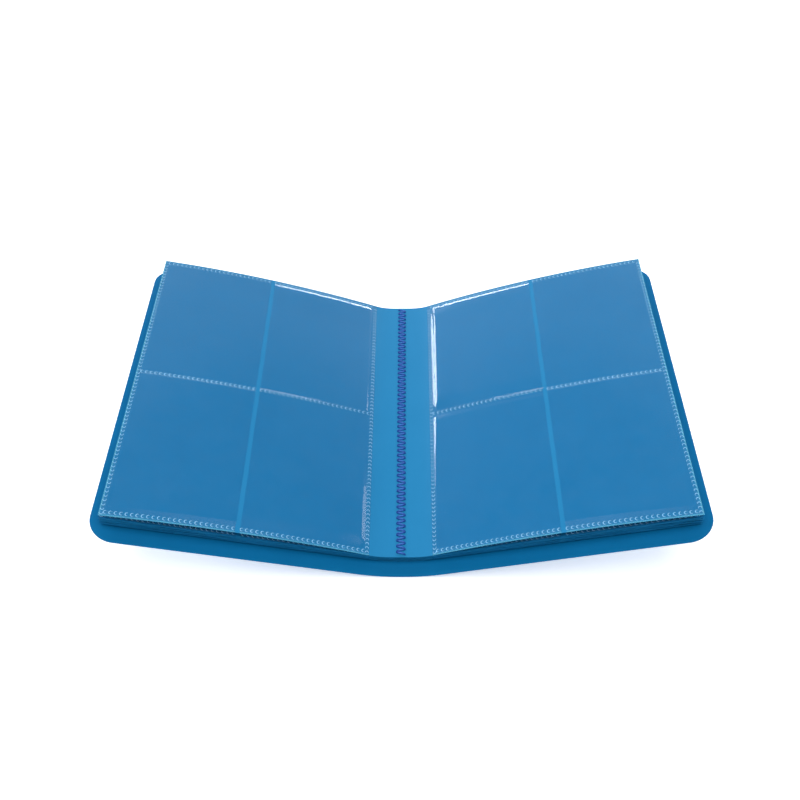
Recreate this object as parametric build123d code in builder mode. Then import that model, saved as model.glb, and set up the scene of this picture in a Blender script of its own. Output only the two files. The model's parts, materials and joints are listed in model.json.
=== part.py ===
from build123d import *
import os
from math import cos, radians, sin

# Trading card binder, lying open at its middle on a table: a flexible one-piece cover, ten
# folios stitched through its spine, and clear films welded to both faces of every leaf.
# Frame, in millimetres: X runs across the open binder from the front cover to the back cover,
# Y runs along the spine towards the heads of the pages, Z is up, and the origin is on the
# underside of the spine, at its middle.

# Cover: a flat spine and two wings, creased along the spine's long edges.
cover_height = 204.0
cover_thickness = 1.0
crease_x = 12.7
crease_gap = 0.6
wing_width = 154.0
wing_corner_radius = 14.0
open_angle = 15.5

# Leaves, counted from the top of each side's stack down to the cover. They are sewn in a little
# nearer to the head of the cover than to its foot.
leaf_count = 10
page_height = 192.0
page_shift = 3.0
sheet_thickness = 0.3
leaf_start_x = 8.2
bend_x = 17.0
gutter_base = 1.25
gutter_pitch = 0.53
bend_base = 3.85
bend_pitch = 0.58
fan_step = 0.06
top_leaf_lift = 0.86

# Pockets: two columns of film on each face, with a bare band of sheet between them.
film_start = 0.4
column_width = 69.6
band_width = 3.0
page_width = film_start + 2 * column_width + band_width
film_gap = 0.04
film_thickness = 0.06
weld_width = 2.0

# Centre strips of the folios, and the zigzag seam sewn along them.
strip_half_width = 4.4
seam_half_width = 1.7
stitch_step = 1.8
stitch_count = 105
thread_width = 0.8
thread_height = 0.6

FRONT = -1
BACK = 1
side_names = {FRONT: "left", BACK: "right"}

os.makedirs("parts", exist_ok=True)


def steps_up(level):
    """Number of leaves that lie between this leaf and the cover."""
    return leaf_count - level


def gutter_height(level):
    """Height of a leaf's middle surface where it leaves the spine."""
    return gutter_base + gutter_pitch * steps_up(level)


def bend_height(level):
    """Height of a leaf's middle surface where its margin meets its page."""
    return bend_base + bend_pitch * steps_up(level)


def page_angle(level):
    """Slope of a page in degrees: the stack fans slightly, and the top leaf lies looser."""
    lift = top_leaf_lift if level == 1 else 0.0
    return open_angle + fan_step * steps_up(level) + lift


def page_plane(side, level):
    """Middle surface of a page: x outwards from the bend, z out of the page's upper face."""
    angle = radians(page_angle(level))
    return Plane(
        origin=(side * bend_x, page_shift, bend_height(level)),
        x_dir=(side * cos(angle), 0, sin(angle)),
        z_dir=(-side * sin(angle), 0, cos(angle)),
    )


def wing_plane(side):
    """Middle surface of a cover wing: x outwards from the crease."""
    angle = radians(open_angle)
    return Plane(
        origin=(side * crease_x, 0, cover_thickness / 2),
        x_dir=(side * cos(angle), 0, sin(angle)),
        z_dir=(-side * sin(angle), 0, cos(angle)),
    )


def make_wing(side, name):
    """One cover board, with its two outer corners rounded."""
    with BuildPart() as wing:
        with BuildSketch(wing_plane(side).offset(-cover_thickness / 2)) as outline:
            with Locations((wing_width / 2, 0)):
                Rectangle(wing_width, cover_height)
            fillet(outline.vertices().group_by(Axis.X)[-1], radius=wing_corner_radius)
        extrude(amount=cover_thickness)
    wing.part.label = name
    export_step(wing.part, f"parts/{name}.step")


def make_sheet(side, level):
    """The coloured sheet of a leaf: a margin that climbs out of the gutter, then the page."""
    name = f"{side_names[side]}_leaf_{level:02d}_sheet"
    angle = radians(page_angle(level))
    upright_half = sheet_thickness / cos(angle) / 2
    centre = (
        (leaf_start_x, gutter_height(level)),
        (bend_x, bend_height(level)),
        (bend_x + page_width * cos(angle), bend_height(level) + page_width * sin(angle)),
    )
    lower = [(side * x, z - upright_half) for x, z in centre]
    upper = [(side * x, z + upright_half) for x, z in reversed(centre)]
    with BuildPart() as sheet:
        with BuildSketch(Plane.XZ.offset(-page_shift)):
            with BuildLine():
                Polyline(*lower, *upper, close=True)
            make_face()
        extrude(amount=page_height / 2, both=True)
    sheet.part.label = name
    export_step(sheet.part, f"parts/{name}.step")


def make_films(side, level):
    """The clear films of a leaf: a strip for each column on each face, with two pockets in it.

    A strip stands off the sheet on its weld ribs, which run along the closed long edge and
    along the top, middle and bottom. The long edge beside the bare band is open.
    """
    name = f"{side_names[side]}_leaf_{level:02d}_films"
    pocket_height = (page_height - 3 * weld_width) / 2
    pocket_y = (pocket_height + weld_width) / 2
    outer_column_start = film_start + column_width + band_width
    columns = ((film_start, weld_width), (outer_column_start, -weld_width))
    with BuildPart() as films:
        for face in (1, -1):
            rib_plane = page_plane(side, level).offset(face * sheet_thickness / 2)
            for start, pocket_shift in columns:
                column_x = start + column_width / 2
                pocket_x = column_x + pocket_shift
                with BuildSketch(rib_plane):
                    with Locations((column_x, 0)):
                        Rectangle(column_width, page_height)
                    with Locations((pocket_x, pocket_y), (pocket_x, -pocket_y)):
                        Rectangle(column_width, pocket_height, mode=Mode.SUBTRACT)
                extrude(amount=face * film_gap)
                with BuildSketch(rib_plane.offset(face * film_gap)):
                    with Locations((column_x, 0)):
                        Rectangle(column_width, page_height)
                extrude(amount=face * film_thickness)
    films.part.label = name
    export_step(films.part, f"parts/{name}.step")


# Spine: the flat middle of the cover, between the two creases.
with BuildPart() as spine_panel:
    with BuildSketch(Plane.XY):
        Rectangle(2 * (crease_x - crease_gap), cover_height)
    extrude(amount=cover_thickness)
spine_panel.part.label = "spine_panel"
export_step(spine_panel.part, "parts/spine_panel.step")

make_wing(FRONT, "front_cover")
make_wing(BACK, "back_cover")

# Centre strips: the middle of each folio, stacked on the spine under the seam.
with BuildPart() as folio_strips:
    for level in range(1, leaf_count + 1):
        with BuildSketch(Plane.XY.offset(gutter_height(level) - sheet_thickness / 2)):
            with Locations((0, page_shift)):
                Rectangle(2 * strip_half_width, page_height)
        extrude(amount=sheet_thickness)
folio_strips.part.label = "folio_strips"
export_step(folio_strips.part, "parts/folio_strips.step")

# Seam: one thread that zigzags along the top strip.
seam_start = page_shift - stitch_count * stitch_step / 2
seam = [
    (seam_half_width * (-1) ** stitch, seam_start + stitch * stitch_step)
    for stitch in range(stitch_count + 1)
]
with BuildPart() as stitch_thread:
    with BuildSketch(Plane.XY.offset(gutter_height(1) + sheet_thickness / 2)):
        with BuildLine():
            Polyline(*seam)
        trace(line_width=thread_width)
    extrude(amount=thread_height)
stitch_thread.part.label = "stitch_thread"
export_step(stitch_thread.part, "parts/stitch_thread.step")

for side in (FRONT, BACK):
    for level in range(1, leaf_count + 1):
        make_sheet(side, level)
        make_films(side, level)
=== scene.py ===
import json
import math

import bpy
import numpy as np
from mathutils import Matrix, Vector

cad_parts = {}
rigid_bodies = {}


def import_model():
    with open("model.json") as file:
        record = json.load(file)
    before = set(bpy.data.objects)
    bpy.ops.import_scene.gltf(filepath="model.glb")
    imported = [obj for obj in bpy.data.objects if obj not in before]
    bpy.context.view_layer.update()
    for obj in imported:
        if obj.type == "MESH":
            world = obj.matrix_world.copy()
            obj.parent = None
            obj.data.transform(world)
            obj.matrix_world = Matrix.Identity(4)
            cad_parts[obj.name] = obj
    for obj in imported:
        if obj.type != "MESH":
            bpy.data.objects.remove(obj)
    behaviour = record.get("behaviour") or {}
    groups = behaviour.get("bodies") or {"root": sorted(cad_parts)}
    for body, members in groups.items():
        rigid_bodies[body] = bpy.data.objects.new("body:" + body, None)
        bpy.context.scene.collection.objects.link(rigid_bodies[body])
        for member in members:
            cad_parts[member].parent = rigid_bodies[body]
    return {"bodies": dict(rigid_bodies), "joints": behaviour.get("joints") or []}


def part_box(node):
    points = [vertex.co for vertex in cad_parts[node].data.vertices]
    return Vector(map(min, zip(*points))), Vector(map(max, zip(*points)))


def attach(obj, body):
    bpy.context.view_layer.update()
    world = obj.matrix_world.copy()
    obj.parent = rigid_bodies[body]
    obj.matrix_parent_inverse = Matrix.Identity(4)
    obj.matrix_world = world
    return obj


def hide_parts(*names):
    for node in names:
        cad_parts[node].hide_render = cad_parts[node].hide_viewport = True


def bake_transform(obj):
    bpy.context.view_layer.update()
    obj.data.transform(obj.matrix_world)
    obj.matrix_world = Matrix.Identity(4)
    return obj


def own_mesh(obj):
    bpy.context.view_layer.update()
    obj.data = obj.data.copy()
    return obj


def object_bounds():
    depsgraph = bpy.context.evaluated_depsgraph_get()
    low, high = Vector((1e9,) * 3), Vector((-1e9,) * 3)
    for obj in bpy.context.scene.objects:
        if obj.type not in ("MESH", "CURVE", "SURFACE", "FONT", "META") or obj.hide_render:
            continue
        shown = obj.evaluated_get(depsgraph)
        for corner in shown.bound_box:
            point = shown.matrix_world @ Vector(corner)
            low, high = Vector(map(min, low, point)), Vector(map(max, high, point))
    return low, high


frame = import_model()
cad_low, cad_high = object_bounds()

# Trading card binder, lying open. Lengths are in metres. Every shape is worked out on the
# right-hand side, where x grows outwards from the spine, and mirrored for the left-hand side.
MM = 0.001
SIDES = {"left": -1, "right": 1}
HINGED_BY = {"left": "front_cover", "right": "back_cover"}

# Leaves are indexed from the top of each side's stack down to the cover.
LEAVES = sum(name.startswith("left_leaf_") for name in frame["bodies"])
TOP, BOTTOM = 0, LEAVES - 1

# Thicknesses in CAD: a sheet, and a film with the gap under it. The sheets and films made here are
# a little thinner, so that the stack has room for openings between its leaves.
CAD_SHEET = 0.3 * MM
CAD_FILM = 0.1 * MM
SHEET = 0.28 * MM
FILM = 0.05 * MM
FILM_GAP = 0.01 * MM

# Half of the flat middle that the strips and the cover have under the seam.
FLAT = 1.0 * MM


# ---------------------------------------------------------------- meshes


class Shape:
    """Vertices and faces of one piece, gathered from its closed shells."""

    def __init__(self):
        self.vertices, self.faces, self.slots, self.count = [], [], [], 0

    def add(self, vertices, faces, slots=None):
        """Adds a shell. Its faces take material slot 0, or the slots given for them."""
        vertices = np.asarray(vertices, float).reshape(-1, 3)
        self.vertices.append(vertices)
        self.faces += [tuple(int(i) + self.count for i in face) for face in faces]
        self.slots += slots or [0] * len(faces)
        self.count += len(vertices)

    def piece(self, name, side, materials, slot, sharp=40):
        """Makes the Blender object, mirrored for the left-hand side."""
        vertices = np.vstack(self.vertices)
        faces = self.faces
        if side < 0:
            vertices = vertices * (-1, 1, 1)
            faces = [face[::-1] for face in faces]
        mesh = bpy.data.meshes.new(name)
        mesh.from_pydata(vertices.tolist(), [], faces)
        for material in materials:
            mesh.materials.append(material)
        mesh.polygons.foreach_set("material_index", np.array(self.slots, np.int32))
        mesh.update()
        mesh.shade_smooth()
        mesh.set_sharp_from_angle(angle=math.radians(sharp))
        made = bpy.data.objects.new(name, mesh)
        bpy.context.scene.collection.objects.link(made)
        return made


def grid_faces(columns, rows, start=0):
    """Quads of a grid whose points run along the rows first, seen from above."""
    i, j = np.meshgrid(np.arange(columns - 1), np.arange(rows - 1), indexing="ij")
    first = (start + i * rows + j).ravel()
    return np.column_stack([first, first + rows, first + rows + 1, first + 1])


def border(columns, rows):
    """Indices round a grid's edge, anticlockwise seen from above."""
    near = [i * rows for i in range(columns)]
    outer = [(columns - 1) * rows + j for j in range(1, rows)]
    far = [i * rows + rows - 1 for i in range(columns - 2, -1, -1)]
    inner = list(range(rows - 2, 0, -1))
    return near + outer + far + inner


def slab(at, us, vs, low, high, slot_of=None):
    """A closed slab between two heights over a curved surface. at(u, v, height) gives its points.

    Where slot_of(u, v) picks the material slots of its two faces, its rim takes slot 2.
    """
    u, v = np.meshgrid(us, vs, indexing="ij")
    columns, rows = u.shape
    down = columns * rows
    top = grid_faces(columns, rows).tolist()
    bottom = grid_faces(columns, rows, down)[:, ::-1].tolist()
    edge = border(columns, rows)
    rim = [(a + down, b + down, b, a) for a, b in zip(edge, edge[1:] + edge[:1])]
    slots = None
    if slot_of is not None:
        centre_u = (u[:-1, :-1] + u[1:, 1:]) / 2
        centre_v = (v[:-1, :-1] + v[1:, 1:]) / 2
        chosen = slot_of(centre_u, centre_v).astype(int).ravel().tolist()
        slots = chosen + chosen + [2] * len(rim)
    points = np.concatenate([at(u, v, high).reshape(-1, 3), at(u, v, low).reshape(-1, 3)])
    return points, top + bottom + rim, slots


def ease(t):
    """0 below 0, 1 above 1, and smooth in between."""
    t = np.clip(t, 0, 1)
    return t * t * (3 - 2 * t)


def hermite(x, x0, z0, slope0, x1, z1, slope1):
    """Cubic from one point and slope to another."""
    t = (x - x0) / (x1 - x0)
    run = x1 - x0
    return (
        (2 * t**3 - 3 * t**2 + 1) * z0
        + (t**3 - 2 * t**2 + t) * run * slope0
        + (3 * t**2 - 2 * t**3) * z1
        + (t**3 - t**2) * run * slope1
    )


# ---------------------------------------------------------------- materials


def material(name):
    made = bpy.data.materials.new(name)
    made.use_nodes = True
    made.node_tree.nodes.clear()
    return made, made.node_tree


def node(tree, kind, **inputs):
    """A node with its inputs set by name, with underscores for spaces."""
    made = tree.nodes.new(kind)
    for key, value in inputs.items():
        made.inputs[key.replace("_", " ")].default_value = value
    return made


def put_out(tree, socket, kind="ShaderNodeOutputMaterial"):
    """Makes a shader the surface of its material or world."""
    out = tree.nodes.new(kind)
    tree.links.new(socket, out.inputs["Surface"])


def maths(tree, operation, *terms):
    """The result of a Math node whose terms are sockets or numbers."""
    made = tree.nodes.new("ShaderNodeMath")
    made.operation = operation
    for term, socket in zip(terms, made.inputs):
        if isinstance(term, bpy.types.NodeSocket):
            tree.links.new(term, socket)
        else:
            socket.default_value = term
    return made.outputs["Value"]


def axes_of(tree, coordinate):
    """The X, Y and Z of a texture coordinate."""
    place = tree.nodes.new("ShaderNodeTexCoord")
    split = tree.nodes.new("ShaderNodeSeparateXYZ")
    tree.links.new(place.outputs[coordinate], split.inputs["Vector"])
    return split.outputs["X"], split.outputs["Y"], split.outputs["Z"]


def noise(tree, scale, detail=2.0, roughness=0.5, stretch=(1, 1, 1)):
    """Noise in the object's own space, in cells per metre."""
    place = tree.nodes.new("ShaderNodeTexCoord")
    mapping = node(tree, "ShaderNodeMapping", Scale=stretch)
    tree.links.new(place.outputs["Object"], mapping.inputs["Vector"])
    made = node(tree, "ShaderNodeTexNoise", Scale=scale, Detail=detail, Roughness=roughness)
    tree.links.new(mapping.outputs["Vector"], made.inputs["Vector"])
    return made.outputs["Fac"]


def colour_mix(tree, fac, low, high):
    """Mixes two colours, each an RGB tuple or a socket."""
    mix = tree.nodes.new("ShaderNodeMix")
    mix.data_type = "RGBA"
    tree.links.new(fac, mix.inputs["Factor"])
    ends = [socket for socket in mix.inputs if socket.type == "RGBA"]
    for colour, socket in zip((low, high), ends):
        if isinstance(colour, tuple):
            socket.default_value = (*colour, 1)
        else:
            tree.links.new(colour, socket)
    return next(socket for socket in mix.outputs if socket.type == "RGBA")


def spread(tree, cloud, low, high):
    """Maps a noise, which mostly lies between 0.3 and 0.7, to a range of numbers."""
    ramp = node(tree, "ShaderNodeMapRange", From_Min=0.3, From_Max=0.7, To_Min=low, To_Max=high)
    tree.links.new(cloud, ramp.inputs["Value"])
    return ramp.outputs["Result"]


def bump(tree, height, strength, distance):
    made = node(tree, "ShaderNodeBump", Strength=strength, Distance=distance)
    tree.links.new(height, made.inputs["Height"])
    return made.outputs["Normal"]


# Cells per metre of the clouds in a plastic's colour, and of the ripples in a film's gloss.
CLOUD_SCALE = 45.0
RIPPLE_SCALE = 130.0


def plastic(name, dark, light, rough, grain, grain_depth, specular):
    """Moulded or calendered plastic: cloudy colour, uneven gloss and a fine grain."""
    made, tree = material(name)
    shader = node(tree, "ShaderNodeBsdfPrincipled", Specular_IOR_Level=specular)
    cloud = noise(tree, CLOUD_SCALE, 3.0, 0.55)
    fine = noise(tree, grain, 3.0, 0.6)
    tree.links.new(colour_mix(tree, cloud, dark, light), shader.inputs["Base Color"])
    tree.links.new(spread(tree, fine, *rough), shader.inputs["Roughness"])
    tree.links.new(bump(tree, fine, 0.35, grain_depth), shader.inputs["Normal"])
    put_out(tree, shader.outputs["BSDF"])
    return made


# Share of light that a film mirrors when it is seen square on. It grows to all of it edge on.
FACE_ON = 0.022


def film_material(name, tint, haze, haze_colour, gloss):
    """Clear polypropylene: what is behind shows through, under a sharp reflection and a faint haze."""
    made, tree = material(name)
    clear = node(tree, "ShaderNodeBsdfTransparent", Color=(*tint, 1))
    cloudy = node(tree, "ShaderNodeBsdfDiffuse", Color=(*haze_colour, 1))
    shine = node(tree, "ShaderNodeBsdfGlossy", Color=(1, 1, 1, 1))
    ripple = noise(tree, RIPPLE_SCALE)
    tree.links.new(spread(tree, ripple, *gloss), shine.inputs["Roughness"])
    body = tree.nodes.new("ShaderNodeMixShader")
    tree.links.new(spread(tree, ripple, *haze), body.inputs["Fac"])
    tree.links.new(clear.outputs["BSDF"], body.inputs[1])
    tree.links.new(cloudy.outputs["BSDF"], body.inputs[2])
    facing = node(tree, "ShaderNodeLayerWeight", Blend=0.5)
    steep = maths(tree, "POWER", facing.outputs["Facing"], 5.0)
    surface = tree.nodes.new("ShaderNodeMixShader")
    tree.links.new(maths(tree, "MULTIPLY_ADD", steep, 1 - FACE_ON, FACE_ON), surface.inputs["Fac"])
    tree.links.new(body.outputs["Shader"], surface.inputs[1])
    tree.links.new(shine.outputs["BSDF"], surface.inputs[2])
    put_out(tree, surface.outputs["Shader"])
    return made


def thread_material():
    """Twisted polyester: royal blue, with painted shade darkening it where it goes down into its
    holes.
    """
    made, tree = material("seam_thread")
    shader = node(tree, "ShaderNodeBsdfPrincipled", Roughness=0.6, Specular_IOR_Level=0.2)
    ply = noise(tree, 2600.0, stretch=(1, 0.35, 1))
    light = colour_mix(tree, ply, (0.02, 0.10, 0.40), (0.04, 0.16, 0.52))
    # Painted shade: the colour darkens towards each stitch's turning points, standing for the shadow
    # in and around the needle holes.
    dark = colour_mix(tree, ply, (0.004, 0.045, 0.24), (0.008, 0.07, 0.32))
    x, _, _ = axes_of(tree, "Object")
    ramp = node(tree, "ShaderNodeMapRange", From_Min=0.9 * MM, From_Max=1.8 * MM)
    tree.links.new(maths(tree, "ABSOLUTE", x), ramp.inputs["Value"])
    colour = colour_mix(tree, ramp.outputs["Result"], light, dark)
    tree.links.new(colour, shader.inputs["Base Color"])
    tree.links.new(bump(tree, ply, 0.8, 0.1 * MM), shader.inputs["Normal"])
    put_out(tree, shader.outputs["BSDF"])
    return made


COVER = plastic(
    "cover_plastic",
    dark=(0.0006, 0.130, 0.315), light=(0.0012, 0.158, 0.375), rough=(0.46, 0.60),
    grain=1500.0, grain_depth=0.05 * MM, specular=0.06,
)
PAGE = plastic(
    "page_sheet",
    dark=(0.005, 0.182, 0.402), light=(0.009, 0.202, 0.434), rough=(0.45, 0.60),
    grain=2200.0, grain_depth=0.02 * MM, specular=0.15,
)
# Painted shade: the clear films' rims and cut edges in the stack are drawn as opaque blue a little
# darker than the page, standing for the shade in the packed stack.
STACK_EDGE_SHADE = plastic(
    "stack_edge",
    dark=(0.002, 0.135, 0.33), light=(0.010, 0.185, 0.42), rough=(0.5, 0.65),
    grain=2200.0, grain_depth=0.02 * MM, specular=0.05,
)
MARKS = plastic(
    "weld_marks",
    dark=(0.16, 0.44, 0.72), light=(0.30, 0.60, 0.86), rough=(0.45, 0.6),
    grain=3000.0, grain_depth=0.02 * MM, specular=0.05,
)
POCKET = film_material(
    "pocket_film",
    tint=(0.925, 0.966, 0.984), haze=(0.0, 0.006), haze_colour=(0.5, 0.75, 0.95), gloss=(0.03, 0.07),
)
PRESSED = film_material(
    "pressed_film",
    tint=(0.97, 0.985, 0.99), haze=(0.01, 0.05), haze_colour=(0.25, 0.55, 0.85), gloss=(0.06, 0.12),
)
CUT = film_material(
    "cut_film",
    tint=(0.97, 0.985, 0.99), haze=(0.22, 0.38), haze_colour=(0.16, 0.60, 0.82), gloss=(0.1, 0.2),
)
THREAD = thread_material()


# ---------------------------------------------------------------- leaves

# The leaves were not cut quite alike: their near and far edges step in by up to twice this, by an
# amount that swings through so many radians from leaf to leaf. The top leaf is not trimmed.
TRIM = 0.2 * MM
TRIM_TURN = 2.4

# Distance between leaves where they fold, the least one between lower leaves, and how far the top
# leaf's middle stands above a straight line across it.
FOLD_PITCH = 0.46 * MM
STACKED = 0.44 * MM
TOP_CROWN = 3.4 * MM

# The lower leaves' openings: how strongly they gather, how many waves there are from the top of
# the stack to its bottom, and by how many radians they shift across a page, along half of its
# height and from one side of the binder to its middle.
OPENNESS = 4.0
OPENING_WAVES = 3
SHIFT_ACROSS, SHIFT_ALONG, SHIFT_ASIDE = 13.0, 3.0, 1.1

# How far a strip's end lies above its middle, and its slope there. Both grow down the stack.
STRIP_RISE, STRIP_RISE_GROWTH = 0.15 * MM, 0.15 * MM
STRIP_SLOPE, STRIP_SLOPE_GROWTH = 0.08, 0.03


class Leaf:
    """Where one CAD leaf lies, taken to the right-hand side."""

    def __init__(self, side, index):
        self.name = f"{side}_leaf_{index + 1:02d}"
        self.side = SIDES[side]
        low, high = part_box(f"{self.name}_sheet")
        film_low, film_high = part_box(f"{self.name}_films")
        self.start_x = min(abs(low.x), abs(high.x))
        self.outer_x = max(abs(low.x), abs(high.x))
        self.page_x = min(abs(film_low.x), abs(film_high.x))
        self.gutter_z = low.z + CAD_SHEET / 2
        self.outer_z = high.z - CAD_SHEET / 2
        self.page_z = film_low.z + CAD_SHEET / 2 + CAD_FILM
        self.middle_y = (low.y + high.y) / 2
        trimmed = 0.0 if index == TOP else TRIM * (1 + math.sin((index + 1) * TRIM_TURN))
        self.half_height = (high.y - low.y) / 2 - trimmed


stacks = {side: [Leaf(side, index) for index in range(LEAVES)] for side in SIDES}


def gap(stack, index, t, y):
    """Distance from a leaf down to the one beneath it, at t of the way across the page."""
    if index == TOP:
        outer_gap = stack[TOP].outer_z - stack[TOP + 1].outer_z
        return FOLD_PITCH * (1 - t) + outer_gap * t + 4 * TOP_CROWN * t * (1 - t)
    # The lower leaves lie tight, and what room is left gathers in one or two openings at a time.
    count = LEAVES - 2
    outer_pitch = (stack[TOP + 1].outer_z - stack[BOTTOM].outer_z) / count
    pitch = FOLD_PITCH * (1 - t) + outer_pitch * t
    along = y / stack[TOP].half_height
    phase = SHIFT_ACROSS * t + SHIFT_ALONG * along + SHIFT_ASIDE * stack[TOP].side
    turn = 2 * math.pi * OPENING_WAVES / count
    shares = [np.exp(OPENNESS * np.sin(phase + i * turn)) for i in range(count)]
    return STACKED + (pitch - STACKED) * count * shares[index - 1] / sum(shares)


def page_z(stack, index, x, y):
    """Height of a page's middle surface."""
    base = stack[BOTTOM]
    t = (x - base.page_x) / (base.outer_x - base.page_x)
    z = base.page_z + (base.outer_z - base.page_z) * t
    for i in range(index, BOTTOM):
        z = z + gap(stack, i, t, y)
    return z


def leaf_z(stack, index, x, y):
    """Height of a leaf's middle surface, from the seam to the outer edge."""
    leaf = stack[index]
    share = index / BOTTOM
    end_z = leaf.gutter_z + STRIP_RISE + STRIP_RISE_GROWTH * share
    end_slope = STRIP_SLOPE + STRIP_SLOPE_GROWTH * share
    tiny = 0.01 * MM
    fold_z = page_z(stack, index, leaf.page_x, y)
    fold_slope = (page_z(stack, index, leaf.page_x + tiny, y) - fold_z) / tiny
    strip = hermite(np.maximum(x, FLAT), FLAT, leaf.gutter_z, 0, leaf.start_x, end_z, end_slope)
    margin = hermite(x, leaf.start_x, end_z, end_slope, leaf.page_x, fold_z, fold_slope)
    page = page_z(stack, index, x, y)
    return np.where(x < leaf.start_x, strip, np.where(x < leaf.page_x, margin, page))


def leaf_surface(stack, index):
    """at(x, y, height) for a leaf: y from its middle, and height square to its surface."""
    middle_y = stack[index].middle_y
    step = 0.02 * MM

    def at(x, y, height):
        z = leaf_z(stack, index, x, y)
        slope = (leaf_z(stack, index, x + step, y) - leaf_z(stack, index, x - step, y)) / (2 * step)
        long = np.sqrt(1 + slope**2)
        return np.stack([x - height * slope / long, middle_y + y + 0 * x, z + height / long], axis=-1)

    return at


# ---------------------------------------------------------------- the top films' shape

# How steeply the top films leave their welds, as rise over run: beside the spine, at the head and,
# for each side, at the foot.
RIGHT_SPINE_RISE = math.tan(math.radians(12.4))
LEFT_SPINE_RISE = 0.18
HEAD_RISE = math.tan(math.radians(12.0))
FOOT_RISE = {1: 0.088, -1: 0.072}

# Over what distance they climb at each weld, the share of their height that they lose again, and
# the distance over which they lose it.
SPINE_FALL, SPINE_LENGTH = 0.8, 14 * MM
HEAD_CLIMB, HEAD_FALL, HEAD_LENGTH = 1.6 * MM, 0.55, 18 * MM
FOOT_CLIMB, FOOT_FALL, FOOT_LENGTH = 3.0 * MM, 0.7, 20 * MM

# The climb beside the spine on the right page: in the upper pocket, and in the lower one, where it
# narrows from its head to a least width. From half-way down it also grows flatter.
UPPER_CLIMB = 3.0 * MM
LOWER_CLIMB, NARROWING, LEAST_CLIMB = 1.9 * MM, 3.1 * MM, 0.5 * MM
FLATTENING, FLATTENING_START, FLATTENING_LENGTH = 0.45, 0.5, 0.3

# The climb beside the spine on the left page is only in the lower pocket, and grows down it.
LEFT_CLIMB, GROWTH_START, GROWTH_LENGTH = 2.4 * MM, 0.25, 0.5

# A small pucker at the foot of that pocket: its height and radius, and its distances from the welds
# beside the spine and at the foot.
PUCKER, PUCKER_RADIUS = 0.3 * MM, 1.6 * MM
PUCKER_FROM_EDGE, PUCKER_FROM_FOOT = 2.2 * MM, 5 * MM

# The climb beside the spine fades in over a distance from the head, in upper and lower pockets, and
# from the foot. The climbs at the head and the foot fade in from the closed edge.
UPPER_FADE, LOWER_FADE, FOOT_FADE = 8 * MM, 4 * MM, 10 * MM
EDGE_FADE_START, EDGE_FADE = 0.8 * MM, 1.5 * MM


def ridge(distance, width, slope, fall, length):
    """A film's height: it climbs evenly over a width, then sinks by a share of that over a length."""
    return slope * np.minimum(distance, width) * (1 - fall * ease((distance - width) / length))


def spine_relief(side, upper, a, near, down):
    """The inner column's film beside the spine. The arguments are those of relief."""
    if side > 0 and upper:
        return ridge(a, UPPER_CLIMB, RIGHT_SPINE_RISE, SPINE_FALL, SPINE_LENGTH)
    if side > 0:
        width = np.maximum(LOWER_CLIMB - NARROWING * down, LEAST_CLIMB)
        flatter = FLATTENING * ease((down - FLATTENING_START) / FLATTENING_LENGTH)
        return ridge(a, width, RIGHT_SPINE_RISE * (1 - flatter), SPINE_FALL, SPINE_LENGTH)
    if upper:
        return 0 * a
    slope = LEFT_SPINE_RISE * ease((down - GROWTH_START) / GROWTH_LENGTH)
    away = (a - PUCKER_FROM_EDGE) ** 2 + (near - PUCKER_FROM_FOOT) ** 2
    pucker = PUCKER * np.exp(-away / PUCKER_RADIUS**2)
    return ridge(a, LEFT_CLIMB, slope, SPINE_FALL, SPINE_LENGTH) + pucker


def relief(side, column, upper, a, far, near, down):
    """How far the top film of the top leaf stands off its sheet, in one pocket.

    a is the distance from the closed edge's weld, far and near are the distances from the welds
    at the pocket's head and foot, and down runs from 0 to 1 down the pocket.
    """
    inner = column == 0
    spine = spine_relief(side, upper, a, near, down) if inner else 0 * a
    head_slope = HEAD_RISE if inner and upper else 0.0
    foot_slope = FOOT_RISE[side] if not inner and not upper else 0.0
    head = ridge(far, HEAD_CLIMB, head_slope, HEAD_FALL, HEAD_LENGTH)
    foot = ridge(near, FOOT_CLIMB, foot_slope, FOOT_FALL, FOOT_LENGTH)
    ends = ease(far / (UPPER_FADE if upper else LOWER_FADE)) * ease(near / FOOT_FADE)
    return spine * ends + (head + foot) * ease((a - EDGE_FADE_START) / EDGE_FADE)


# ---------------------------------------------------------------- pockets

# Widths of the bare band between a page's two columns, of the weld along a column's closed edge, of
# the welds along its head and foot, and of the cut edge outside them.
BAND = 2.4 * MM
WELD_WIDTH = 2.4 * MM
END_WELD = 3.3 * MM
CUT_WIDTH = 0.7 * MM

# The weld between upper and lower pockets: its middle and half of its width.
MIDDLE_Y = 1.2 * MM
MIDDLE_HALF = 1.3 * MM

# A film that lies in the stack stands off by this much inside its pockets, and fades in over a
# distance from the welds.
LIE = 0.02 * MM
LIE_FADE = 3 * MM

# The films' meshes: the distances in millimetres from a weld at which a fine one has its points, its
# steps elsewhere, and the number of a plain one's points across and along a pocket.
FINE = (0.2, 0.6, 1.0, 1.4, 1.8, 2.2, 2.6, 3.0, 3.3, 4.0, 5.0, 6.5, 9.0)
STEP_ACROSS, STEP_ALONG = 3.0 * MM, 4.0 * MM
PLAIN_ACROSS, PLAIN_ALONG = 10, 7


def fine_steps(start, stop, coarse, fine_stop):
    """Points from start to stop, close together near the start and, if asked, near the stop."""
    fine = [start, stop, *(start + np.array(FINE) * MM)]
    if fine_stop:
        fine += list(stop - np.array(FINE) * MM)
    count = int(round((stop - start) / coarse))
    even = np.linspace(start, stop, count + 1)
    spare = [p for p in even if min(abs(p - q) for q in fine) > 0.45 * coarse]
    return np.array(sorted(fine + spare))


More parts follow.
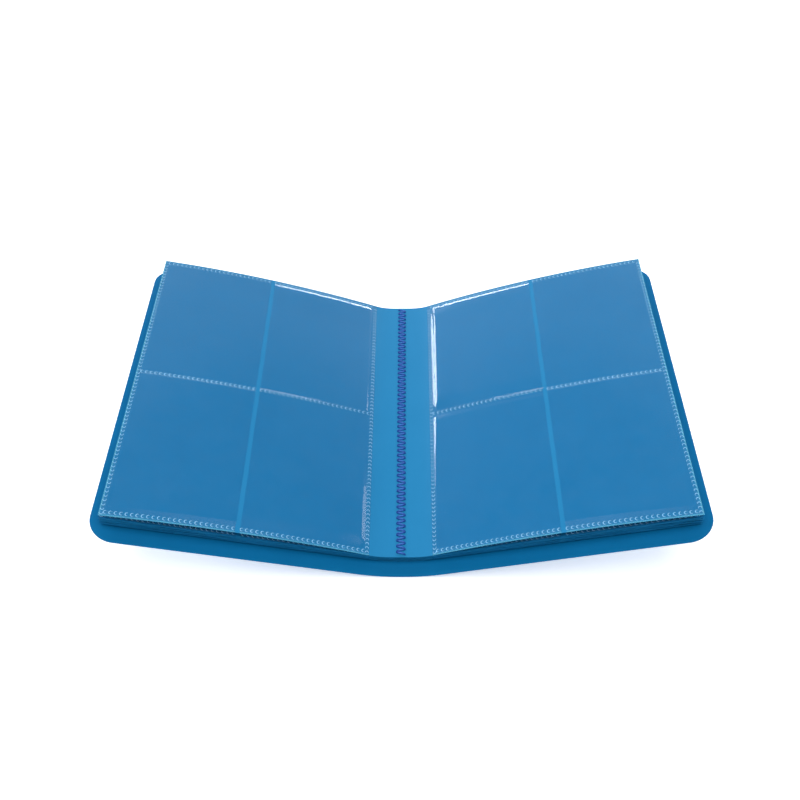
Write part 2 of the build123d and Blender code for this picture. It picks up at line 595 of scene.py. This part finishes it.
class Strip:
    """One strip of film on one face of a leaf, with two pockets that are open towards the band.

    Places on it are a, the distance from its closed edge, and y from the leaf's middle.
    """

    def __init__(self, stack, index, column, face):
        leaf = stack[index]
        self.side, self.column, self.face = leaf.side, column, face
        # The films on view stand off their sheet. The marks beneath them can be seen too.
        self.on_view = index == TOP and face > 0
        self.clear_marks = index <= TOP + 1 and face > 0
        self.width = (leaf.outer_x - leaf.page_x - BAND) / 2
        self.closed_x = leaf.page_x if column == 0 else leaf.outer_x
        self.outward = 1 if column == 0 else -1
        self.surface = leaf_surface(stack, index)
        self.top = leaf.half_height
        self.pockets = (
            (MIDDLE_Y + MIDDLE_HALF, self.top - END_WELD),
            (-self.top + END_WELD, MIDDLE_Y - MIDDLE_HALF),
        )

    def lift(self, a, y):
        """Height of the film's underside over the leaf's middle surface."""
        total = SHEET / 2 + FILM_GAP + 0 * a
        for start, stop in self.pockets:
            within = (y > start) & (y < stop)
            if self.on_view:
                within = within & (a > WELD_WIDTH)
                down = np.clip((stop - y) / (stop - start), 0, 1)
                inside, upper = a - WELD_WIDTH, start > 0
                off = relief(self.side, self.column, upper, inside, stop - y, y - start, down)
            else:
                room = ease(np.minimum(y - start, stop - y) / LIE_FADE)
                off = LIE * ease((a - WELD_WIDTH) / LIE_FADE) * room
            total = total + np.where(within, off, 0)
        return total

    def at(self, a, y, height):
        """Points of the strip, at a height over the film's underside."""
        x = self.closed_x + self.outward * a
        return self.surface(x, y, self.face * (self.lift(a, y) + height))

    def slot_of(self, a, y):
        """Material slots: 0 in the pockets, 1 on the welds and 2 along the cut edges."""
        welded = a < WELD_WIDTH
        welded = welded | (np.abs(y) > self.top - END_WELD) | (np.abs(y - MIDDLE_Y) < MIDDLE_HALF)
        cut = ((a < CUT_WIDTH) & (self.column == 1)) | (np.abs(y) > self.top - CUT_WIDTH)
        return np.where(cut, 2, welded)

    def mesh_lines(self):
        """Where the mesh has its points, along a and along y."""
        if self.on_view:
            across = fine_steps(WELD_WIDTH, self.width, STEP_ACROSS, False)
            along = [fine_steps(start, stop, STEP_ALONG, True) for start, stop in self.pockets]
        else:
            across = np.linspace(WELD_WIDTH, self.width, PLAIN_ACROSS)
            along = [np.linspace(start, stop, PLAIN_ALONG) for start, stop in self.pockets]
        edges = [-self.top, CUT_WIDTH - self.top, self.top - CUT_WIDTH, self.top]
        return np.concatenate([[0, CUT_WIDTH], across]), np.unique(np.concatenate([edges, *along]))


def add_film(shape, strip):
    across, along = strip.mesh_lines()
    points, faces, slots = slab(strip.at, across, along, 0, FILM, strip.slot_of)
    if strip.face * strip.outward < 0:
        faces = [face[::-1] for face in faces]
    shape.add(points, faces, slots)


# ---------------------------------------------------------------- weld marks

# The rows of marks: their step, where the row along the closed edge starts from the foot and ends
# from the head, and where the other rows start beyond that edge's weld.
MARK_STEP = 2.62 * MM
SIDE_ROW_START, SIDE_ROW_END = 1.6 * MM, 0.4 * MM
ROW_START = 0.7 * MM

# How far in from the closed edge, and from the head and the foot, the rows lie. Marks along the
# closed edge are a little smaller.
SIDE_ROW = 0.52 * WELD_WIDTH
END_ROW = 2.2 * MM
SIDE_MARK_SIZE = 0.9

# A crescent: its radii along x and y, its opening in degrees, half of its width at the tips and what
# that gains by the middle, and the share of its height that its tips have.
CRESCENT_RADII = (0.86 * MM, 0.92 * MM)
CRESCENT_OPENING = 120
TIP_HALF, HALF_GAIN = 0.06 * MM, 0.16 * MM
TIP_SHARE = 0.3

# Crescents are clear on the upper leaves and faint in the stack: their heights, and the points
# along them.
CLEAR_HEIGHT, FAINT_HEIGHT = 0.12 * MM, 0.05 * MM
CLEAR_POINTS, FAINT_POINTS = 8, 5

# Marks are sunk into their film by this much, so that no gap shows under them.
SUNK = 0.005 * MM


def crescent(count, tall):
    """One mark of the welding wheel: a small raised crescent, open towards +x, with fine tips."""
    points = []
    for share in np.linspace(0, 1, count):
        angle = math.radians(CRESCENT_OPENING / 2 + (360 - CRESCENT_OPENING) * share)
        fullness = math.sin(math.pi * share)
        half = TIP_HALF + HALF_GAIN * fullness
        high = tall * (TIP_SHARE + (1 - TIP_SHARE) * fullness)
        out = np.array([math.cos(angle), math.sin(angle)])
        centre = out * CRESCENT_RADII
        points += [(*(centre + out * half), 0), (*centre, high), (*(centre - out * half), 0)]
    faces = []
    last = 3 * count - 3
    for a in range(0, last, 3):
        faces += [(a, a + 3, a + 4, a + 1), (a + 1, a + 4, a + 5, a + 2), (a + 2, a + 5, a + 3, a)]
    faces += [(0, 1, 2), (last + 2, last + 1, last)]
    return np.array(points), faces


def mark_places(strip):
    """a, y and turn of each mark along a strip's closed edge, its head, its middle and its foot."""
    first_y = SIDE_ROW_START - strip.top
    along = int((strip.top - SIDE_ROW_END - first_y) / MARK_STEP)
    places = [(SIDE_ROW, first_y + i * MARK_STEP, math.pi / 2) for i in range(along)]
    first_a = WELD_WIDTH + ROW_START
    across = int((strip.width - first_a) / MARK_STEP) + 1
    for y in (strip.top - END_ROW, MIDDLE_Y, END_ROW - strip.top):
        places += [(first_a + i * MARK_STEP, y, 0.0) for i in range(across)]
    return np.array(places)


def add_weld_marks(shape, strip):
    """Rows of crescents along a strip's four welds. All open the same way across the binder."""
    if strip.clear_marks:
        template, faces = crescent(CLEAR_POINTS, CLEAR_HEIGHT)
    else:
        template, faces = crescent(FAINT_POINTS, FAINT_HEIGHT)
    mark_x, mark_y, mark_z = (template * (strip.side * strip.outward, 1, 1)).T
    a, y, turn = mark_places(strip).T[:, :, None]
    size = np.where(turn > 0, SIDE_MARK_SIZE, 1.0)
    a = a + size * (mark_x * np.cos(turn) - mark_y * np.sin(turn))
    y = y + size * (mark_x * np.sin(turn) + mark_y * np.cos(turn))
    points = strip.at(a, y, FILM + mark_z - SUNK + 0 * a)
    # Mirroring can turn a crescent inside out. Its first facet shows whether it has.
    foot, crest, other_foot, next_foot = points[0, :4]
    square = np.cross(next_foot - foot, crest - foot)
    inside_out = np.dot(square, crest - (foot + other_foot) / 2) < 0
    if inside_out:
        faces = [face[::-1] for face in faces]
    marks, corners = a.shape
    made = [tuple(i + mark * corners for i in face) for mark in range(marks) for face in faces]
    shape.add(points, made, [3] * len(made))


# ---------------------------------------------------------------- pieces


# Points of the sheets' meshes: along the spine, and across a page, the lowest leaf's margin, one
# part of another leaf's margin, and a strip.
POINTS_ALONG = 13
PAGE_POINTS, LOWEST_MARGIN_POINTS, MARGIN_POINTS, STRIP_POINTS = 45, 8, 4, 12


def flatten(piece):
    """Gives a piece of the top leaf a mesh of its own."""
    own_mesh(piece)


def sheet_piece(side, index, name, xs):
    """A part of a folio's sheet, between the first and last of xs."""
    leaf = stacks[side][index]
    surface = leaf_surface(stacks[side], index)
    ys = np.linspace(-leaf.half_height, leaf.half_height, POINTS_ALONG)
    part = Shape()
    part.add(*slab(surface, xs, ys, -SHEET / 2, SHEET / 2))
    return part.piece(name, leaf.side, [PAGE], "page_sheet")


def make_page(side, index):
    """The page of a leaf. The lowest leaf's page has its margin with it."""
    leaf = stacks[side][index]
    xs = np.linspace(leaf.page_x, leaf.outer_x, PAGE_POINTS)
    if index == BOTTOM:
        margin = np.linspace(leaf.start_x, leaf.page_x, LOWEST_MARGIN_POINTS)
        xs = np.concatenate([margin[:-1], xs])
    page = sheet_piece(side, index, f"{leaf.name}_page", xs)
    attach(page, leaf.name)
    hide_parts(f"{leaf.name}_sheet")
    if index == TOP:
        flatten(page)


def make_margins(side, index):
    """The margin that bends out of the seam: one part for each leaf that lies beneath."""
    leaf = stacks[side][index]
    chain = [stacks[side][i].name for i in range(BOTTOM, index - 1, -1)]
    edges = np.linspace(leaf.start_x, leaf.page_x, len(chain))
    for i, (lower, upper) in enumerate(zip(chain, chain[1:])):
        xs = np.linspace(edges[i], edges[i + 1], MARGIN_POINTS)
        margin = sheet_piece(side, index, f"{leaf.name}_margin_{i + 1}", xs)
        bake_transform(margin)


def make_pockets(side, index):
    """The four strips of film on a leaf, with their weld marks. In the stack their edges take a darker
    blue, painted shade of the packed stack.
    """
    leaf = stacks[side][index]
    films = Shape()
    for column in (0, 1):
        for face in (1, -1):
            strip = Strip(stacks[side], index, column, face)
            add_film(films, strip)
            add_weld_marks(films, strip)
    # Below the top leaf the rims take the painted stack shade.
    rim = CUT if index == TOP else STACK_EDGE_SHADE
    pockets = films.piece(
        f"{leaf.name}_pockets", leaf.side, [POCKET, PRESSED, rim, MARKS], "pocket_film"
    )
    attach(pockets, leaf.name)
    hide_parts(f"{leaf.name}_films")
    if index == TOP:
        flatten(pockets)


def make_strip(side, index):
    """Half of a folio's centre strip, from the seam to where the leaf starts."""
    leaf = stacks[side][index]
    xs = np.linspace(0, leaf.start_x, STRIP_POINTS)
    strip = sheet_piece(side, index, f"{side}_strip_{index + 1:02d}", xs)
    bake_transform(strip)
    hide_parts("folio_strips")


# ---------------------------------------------------------------- cover

COVER_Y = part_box("spine_panel")[1].y
COVER_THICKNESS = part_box("spine_panel")[1].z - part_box("spine_panel")[0].z
CORNER_RADIUS = 14 * MM
EDGE_ROUNDING = 0.35 * MM

# Points of the cover's mesh: along the bend, the board and the rounded corner, and across.
BEND_POINTS, BOARD_POINTS, CORNER_POINTS, ACROSS_POINTS = 22, 30, 14, 41


class CoverHalf:
    """Half of the cover: the spine's flat middle, a wide bend and one board.

    Places on it are s, the length along its middle surface from the seam, and v from -1 to 1
    across it.
    """

    def __init__(self, body):
        low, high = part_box(body)
        hinge = next(joint for joint in frame["joints"] if joint["name"] == f"{body}_hinge")
        crease_x = abs(hinge["pos_m"][0])
        outer_x = max(abs(low.x), abs(high.x))
        self.half = COVER_THICKNESS / 2
        self.angle = math.radians(-hinge["range_deg"][0])
        self.radius = (crease_x - FLAT) / math.tan(self.angle / 2)
        self.arc = self.radius * self.angle
        edge = outer_x - self.half * math.sin(self.angle)
        board = (edge - crease_x) / math.cos(self.angle) - (crease_x - FLAT)
        self.total = FLAT + self.arc + board

    def at(self, s, v, height):
        """Points of the cover, at a height square to its middle surface."""
        tilt = np.clip(s - FLAT, 0, self.arc) / self.radius
        beyond = np.maximum(s - FLAT - self.arc, 0)
        x = np.minimum(s, FLAT) + self.radius * np.sin(tilt) + beyond * math.cos(self.angle)
        z = self.half + self.radius * (1 - np.cos(tilt)) + beyond * math.sin(self.angle)
        past = np.maximum(s - (self.total - CORNER_RADIUS), 0)
        reach_y = COVER_Y - CORNER_RADIUS + np.sqrt(np.maximum(CORNER_RADIUS**2 - past**2, 0))
        return np.stack([x - height * np.sin(tilt), v * reach_y, z + height * np.cos(tilt)], axis=-1)

    def mesh_lines(self):
        """Where the mesh has its points, along s and across v."""
        bend_end = FLAT + self.arc
        corner_start = self.total - CORNER_RADIUS
        round_corner = np.sin(np.linspace(0, math.pi / 2, CORNER_POINTS))
        along = np.concatenate([
            np.linspace(0, bend_end, BEND_POINTS)[:-1],
            np.linspace(bend_end, corner_start, BOARD_POINTS)[:-1],
            self.total - CORNER_RADIUS * (1 - round_corner),
        ])
        return along, np.sin(np.linspace(-math.pi / 2, math.pi / 2, ACROSS_POINTS))


def make_cover(side, body):
    """Half of the cover as one skin, whose two faces are drawn in a little round their edges."""
    cover = CoverHalf(body)
    s, v = np.meshgrid(*cover.mesh_lines(), indexing="ij")
    columns, rows = s.shape
    inset_s = np.minimum(s, cover.total - EDGE_ROUNDING)
    inset_v = np.clip(v, -1 + EDGE_ROUNDING / COVER_Y, 1 - EDGE_ROUNDING / COVER_Y)
    middle = cover.at(s, v, 0)
    inset = cover.at(inset_s, inset_v, 0) - middle
    upper = cover.at(s, v, cover.half) + inset
    lower = cover.at(s, v, -cover.half) + inset
    edge = border(columns, rows)
    points = [upper.reshape(-1, 3), lower.reshape(-1, 3), middle.reshape(-1, 3)[edge]]
    down = columns * rows
    faces = [*grid_faces(columns, rows).tolist(), *grid_faces(columns, rows, down)[:, ::-1].tolist()]
    for i, (a, b) in enumerate(zip(edge, edge[1:] + edge[:1])):
        p = 2 * down + i
        q = 2 * down + (i + 1) % len(edge)
        faces += [(p, q, b, a), (a + down, b + down, q, p)]
    skin = Shape()
    skin.add(np.concatenate(points), faces)
    made = skin.piece(f"{body}_skin", SIDES[side], [COVER], "cover_plastic")
    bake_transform(made)
    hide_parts(body, "spine_panel")


# ---------------------------------------------------------------- seam

# The seam's stitches, as in CAD: their length along the spine.
STITCH = 1.8 * MM

# The thread: its radius, how far its turning points lie inside the CAD thread's edges, how far it
# dips under the CAD thread's underside and rises again, and how full its arch is, where 1 is the
# arch of a sine and less is fuller.
THREAD_RADIUS = 0.58 * MM
THREAD_INSET = 0.35 * MM
THREAD_DIP, THREAD_RISE = 0.35 * MM, 0.62 * MM
ARCH_POWER = 0.6

# The share of a stitch's run that eases in and out at its holes.
EASED_SHARE = 0.6

# Points of the thread's mesh: along a stitch, and round the thread.
STITCH_POINTS = 8
THREAD_SIDES = 8


def seam_path():
    """The thread's middle line: it zigzags, and rises between its holes and dips into them."""
    low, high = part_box("stitch_thread")
    count = int(round((high.y - low.y) / STITCH))
    start_y = (low.y + high.y - count * STITCH) / 2
    samples = np.arange(count * STITCH_POINTS + 1) / STITCH_POINTS
    stitch = np.floor(samples)
    t = samples - stitch
    swing = np.cos(math.pi * (EASED_SHARE * ease(t) + (1 - EASED_SHARE) * t))
    x = (high.x - THREAD_INSET) * np.where(stitch % 2 == 0, 1, -1) * swing
    z = low.z - THREAD_DIP + THREAD_RISE * np.sin(math.pi * t) ** ARCH_POWER
    return np.stack([x, start_y + samples * STITCH, z], axis=-1)


def make_thread():
    """The zigzag seam: one round thread, closed at both ends."""
    path = seam_path()
    tangent = np.gradient(path, axis=0)
    tangent /= np.linalg.norm(tangent, axis=1)[:, None]
    sideways = np.cross(tangent, (0, 0, 1))
    sideways /= np.linalg.norm(sideways, axis=1)[:, None]
    upward = np.cross(sideways, tangent)
    angles = np.linspace(0, 2 * math.pi, THREAD_SIDES, endpoint=False)[None, :, None]
    ring = (
        path[:, None, :]
        + THREAD_RADIUS * np.cos(angles) * sideways[:, None, :]
        + THREAD_RADIUS * np.sin(angles) * upward[:, None, :]
    )
    faces = []
    for start in range(0, (len(path) - 1) * THREAD_SIDES, THREAD_SIDES):
        for j in range(THREAD_SIDES):
            a, b = start + j, start + (j + 1) % THREAD_SIDES
            faces.append((a + THREAD_SIDES, b + THREAD_SIDES, b, a))
    last = (len(path) - 1) * THREAD_SIDES
    faces += [tuple(range(THREAD_SIDES)), tuple(range(last, last + THREAD_SIDES))[::-1]]
    seam = Shape()
    seam.add(ring, faces)
    made = seam.piece("stitch_thread_twist", 1, [THREAD], "seam_thread", sharp=80)
    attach(made, "spine")
    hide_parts("stitch_thread")


for side in SIDES:
    for index in range(LEAVES):
        make_strip(side, index)
    for index in range(LEAVES):
        make_page(side, index)
        make_margins(side, index)
        make_pockets(side, index)
for side, body in HINGED_BY.items():
    make_cover(side, body)
make_thread()


# ---------------------------------------------------------------- stage, light and camera


def make_floor():
    """A pale floor just under the binder, which glows a little so that it stays near white."""
    half = 6.0
    z = cad_low.z - 0.3 * MM
    mesh = bpy.data.meshes.new("floor")
    corners = [(-half, -half, z), (half, -half, z), (half, half, z), (-half, half, z)]
    mesh.from_pydata(corners, [], [(0, 1, 2, 3)])
    made, tree = material("floor")
    shader = node(
        tree, "ShaderNodeBsdfPrincipled", Roughness=0.8, Specular_IOR_Level=0.1,
        Emission_Color=(1, 1, 1, 1), Emission_Strength=0.5,
    )
    colour = colour_mix(tree, noise(tree, 3.0), (0.93, 0.93, 0.93), (0.95, 0.95, 0.95))
    tree.links.new(colour, shader.inputs["Base Color"])
    put_out(tree, shader.outputs["BSDF"])
    mesh.materials.append(made)
    floor = bpy.data.objects.new("floor", mesh)
    bpy.context.scene.collection.objects.link(floor)


def make_light(name, azimuth, elevation, distance, width, height, radiance):
    """A soft box that faces the binder. Its radiance is what a mirror would show."""
    data = bpy.data.lights.new(name, "AREA")
    data.shape = "RECTANGLE"
    data.size, data.size_y = width, height
    data.energy = radiance * math.pi * width * height
    made = bpy.data.objects.new(name, data)
    a, e = math.radians(azimuth), math.radians(elevation)
    away = Vector((math.sin(a) * math.cos(e), math.cos(a) * math.cos(e), math.sin(e)))
    made.location = (cad_low + cad_high) / 2 + away * distance
    made.rotation_mode = "QUATERNION"
    made.rotation_quaternion = away.to_track_quat("Z", "Y")
    bpy.context.scene.collection.objects.link(made)


# Brightness of the surroundings by how far they are raised, where 1 is overhead.
SKY = ((0.0, 1.0), (0.67, 1.05), (0.77, 0.58), (0.87, 0.17), (0.94, 0.06), (1.0, 0.6))


def sky_colour(tree, raised):
    """A smooth ramp through the brightnesses of SKY."""
    ramp = tree.nodes.new("ShaderNodeValToRGB")
    ramp.color_ramp.interpolation = "EASE"
    elements = ramp.color_ramp.elements
    elements[0].position, elements[1].position = SKY[0][0], SKY[-1][0]
    for position, _ in SKY[1:-1]:
        elements.new(position)
    for element, (_, value) in zip(elements, SKY):
        element.color = (value, value, value * 1.01, 1)
    tree.links.new(raised, ramp.inputs["Fac"])
    return ramp.outputs["Color"]


def make_world():
    """Surroundings that light the binder: bright near the horizon, dim overhead and in front.

    Directions to the sides and in front count as raised further than they are. Seen directly the
    surroundings are a plain pale backdrop.
    """
    world = bpy.data.worlds.new("studio")
    world.use_nodes = True
    tree = world.node_tree
    tree.nodes.clear()
    x, y, z = axes_of(tree, "Generated")
    front = maths(tree, "MAXIMUM", maths(tree, "MULTIPLY", y, -0.6), 0.0)
    raised = maths(tree, "MULTIPLY_ADD", maths(tree, "ABSOLUTE", x), 0.45, z)
    raised = maths(tree, "ADD", raised, front)
    surroundings = tree.nodes.new("ShaderNodeBackground")
    tree.links.new(sky_colour(tree, raised), surroundings.inputs["Color"])
    strength = node(
        tree, "ShaderNodeMapRange", From_Min=-0.6, From_Max=0.1, To_Min=0.35, To_Max=1.0
    )
    tree.links.new(y, strength.inputs["Value"])
    tree.links.new(strength.outputs["Result"], surroundings.inputs["Strength"])
    backdrop = node(tree, "ShaderNodeBackground", Strength=1.0, Color=(1, 1, 1, 1))
    seen = tree.nodes.new("ShaderNodeLightPath")
    mix = tree.nodes.new("ShaderNodeMixShader")
    tree.links.new(seen.outputs["Is Camera Ray"], mix.inputs["Fac"])
    tree.links.new(surroundings.outputs["Background"], mix.inputs[1])
    tree.links.new(backdrop.outputs["Background"], mix.inputs[2])
    put_out(tree, mix.outputs["Shader"], "ShaderNodeOutputWorld")
    bpy.context.scene.world = world


def make_camera():
    """The photograph's view: from the front edge, about 51 degrees up, almost square on.

    The camera looks at a point on the table, a little behind the binder's middle.
    """
    azimuth, elevation, roll = math.radians(1.02), math.radians(50.96), math.radians(-0.92)
    distance = 0.5355
    centre = (cad_low + cad_high) / 2
    target = Vector((centre.x - 1.1 * MM, centre.y + 22.6 * MM, cad_low.z))
    data = bpy.data.cameras.new("camera")
    data.sensor_width = 36.0
    data.lens = 37.71
    data.clip_start, data.clip_end = 0.02, 60.0
    data.dof.use_dof = False
    made = bpy.data.objects.new("camera", data)
    back = Vector((
        math.sin(azimuth) * math.cos(elevation),
        -math.cos(azimuth) * math.cos(elevation),
        math.sin(elevation),
    ))
    right = (-back).cross(Vector((0, 0, 1))).normalized()
    up = right.cross(-back)
    tilted_right = right * math.cos(roll) + up * math.sin(roll)
    tilted_up = up * math.cos(roll) - right * math.sin(roll)
    axes = Matrix((tilted_right, tilted_up, back)).transposed()
    made.matrix_world = Matrix.LocRotScale(target + back * distance, axes.to_quaternion(), None)
    bpy.context.scene.collection.objects.link(made)
    bpy.context.scene.camera = made


make_floor()
make_world()

# Name, azimuth from +Y towards +X and elevation in degrees, then distance, width and height in
# metres, and radiance.
make_light("key", 180, 84, 1.5, 1.6, 1.15, 2.7)
make_light("front_fill", 180, 32, 1.6, 1.7, 0.6, 0.9)
make_light("left_window", -47, 17, 1.4, 0.45, 0.40, 11.0)
make_light("right_window", 52, 22, 1.4, 0.40, 0.40, 2.5)
make_light("back_panel", 0, 14.5, 1.8, 2.6, 0.30, 10.0)
make_camera()
bpy.context.scene.view_settings.view_transform = "Standard"
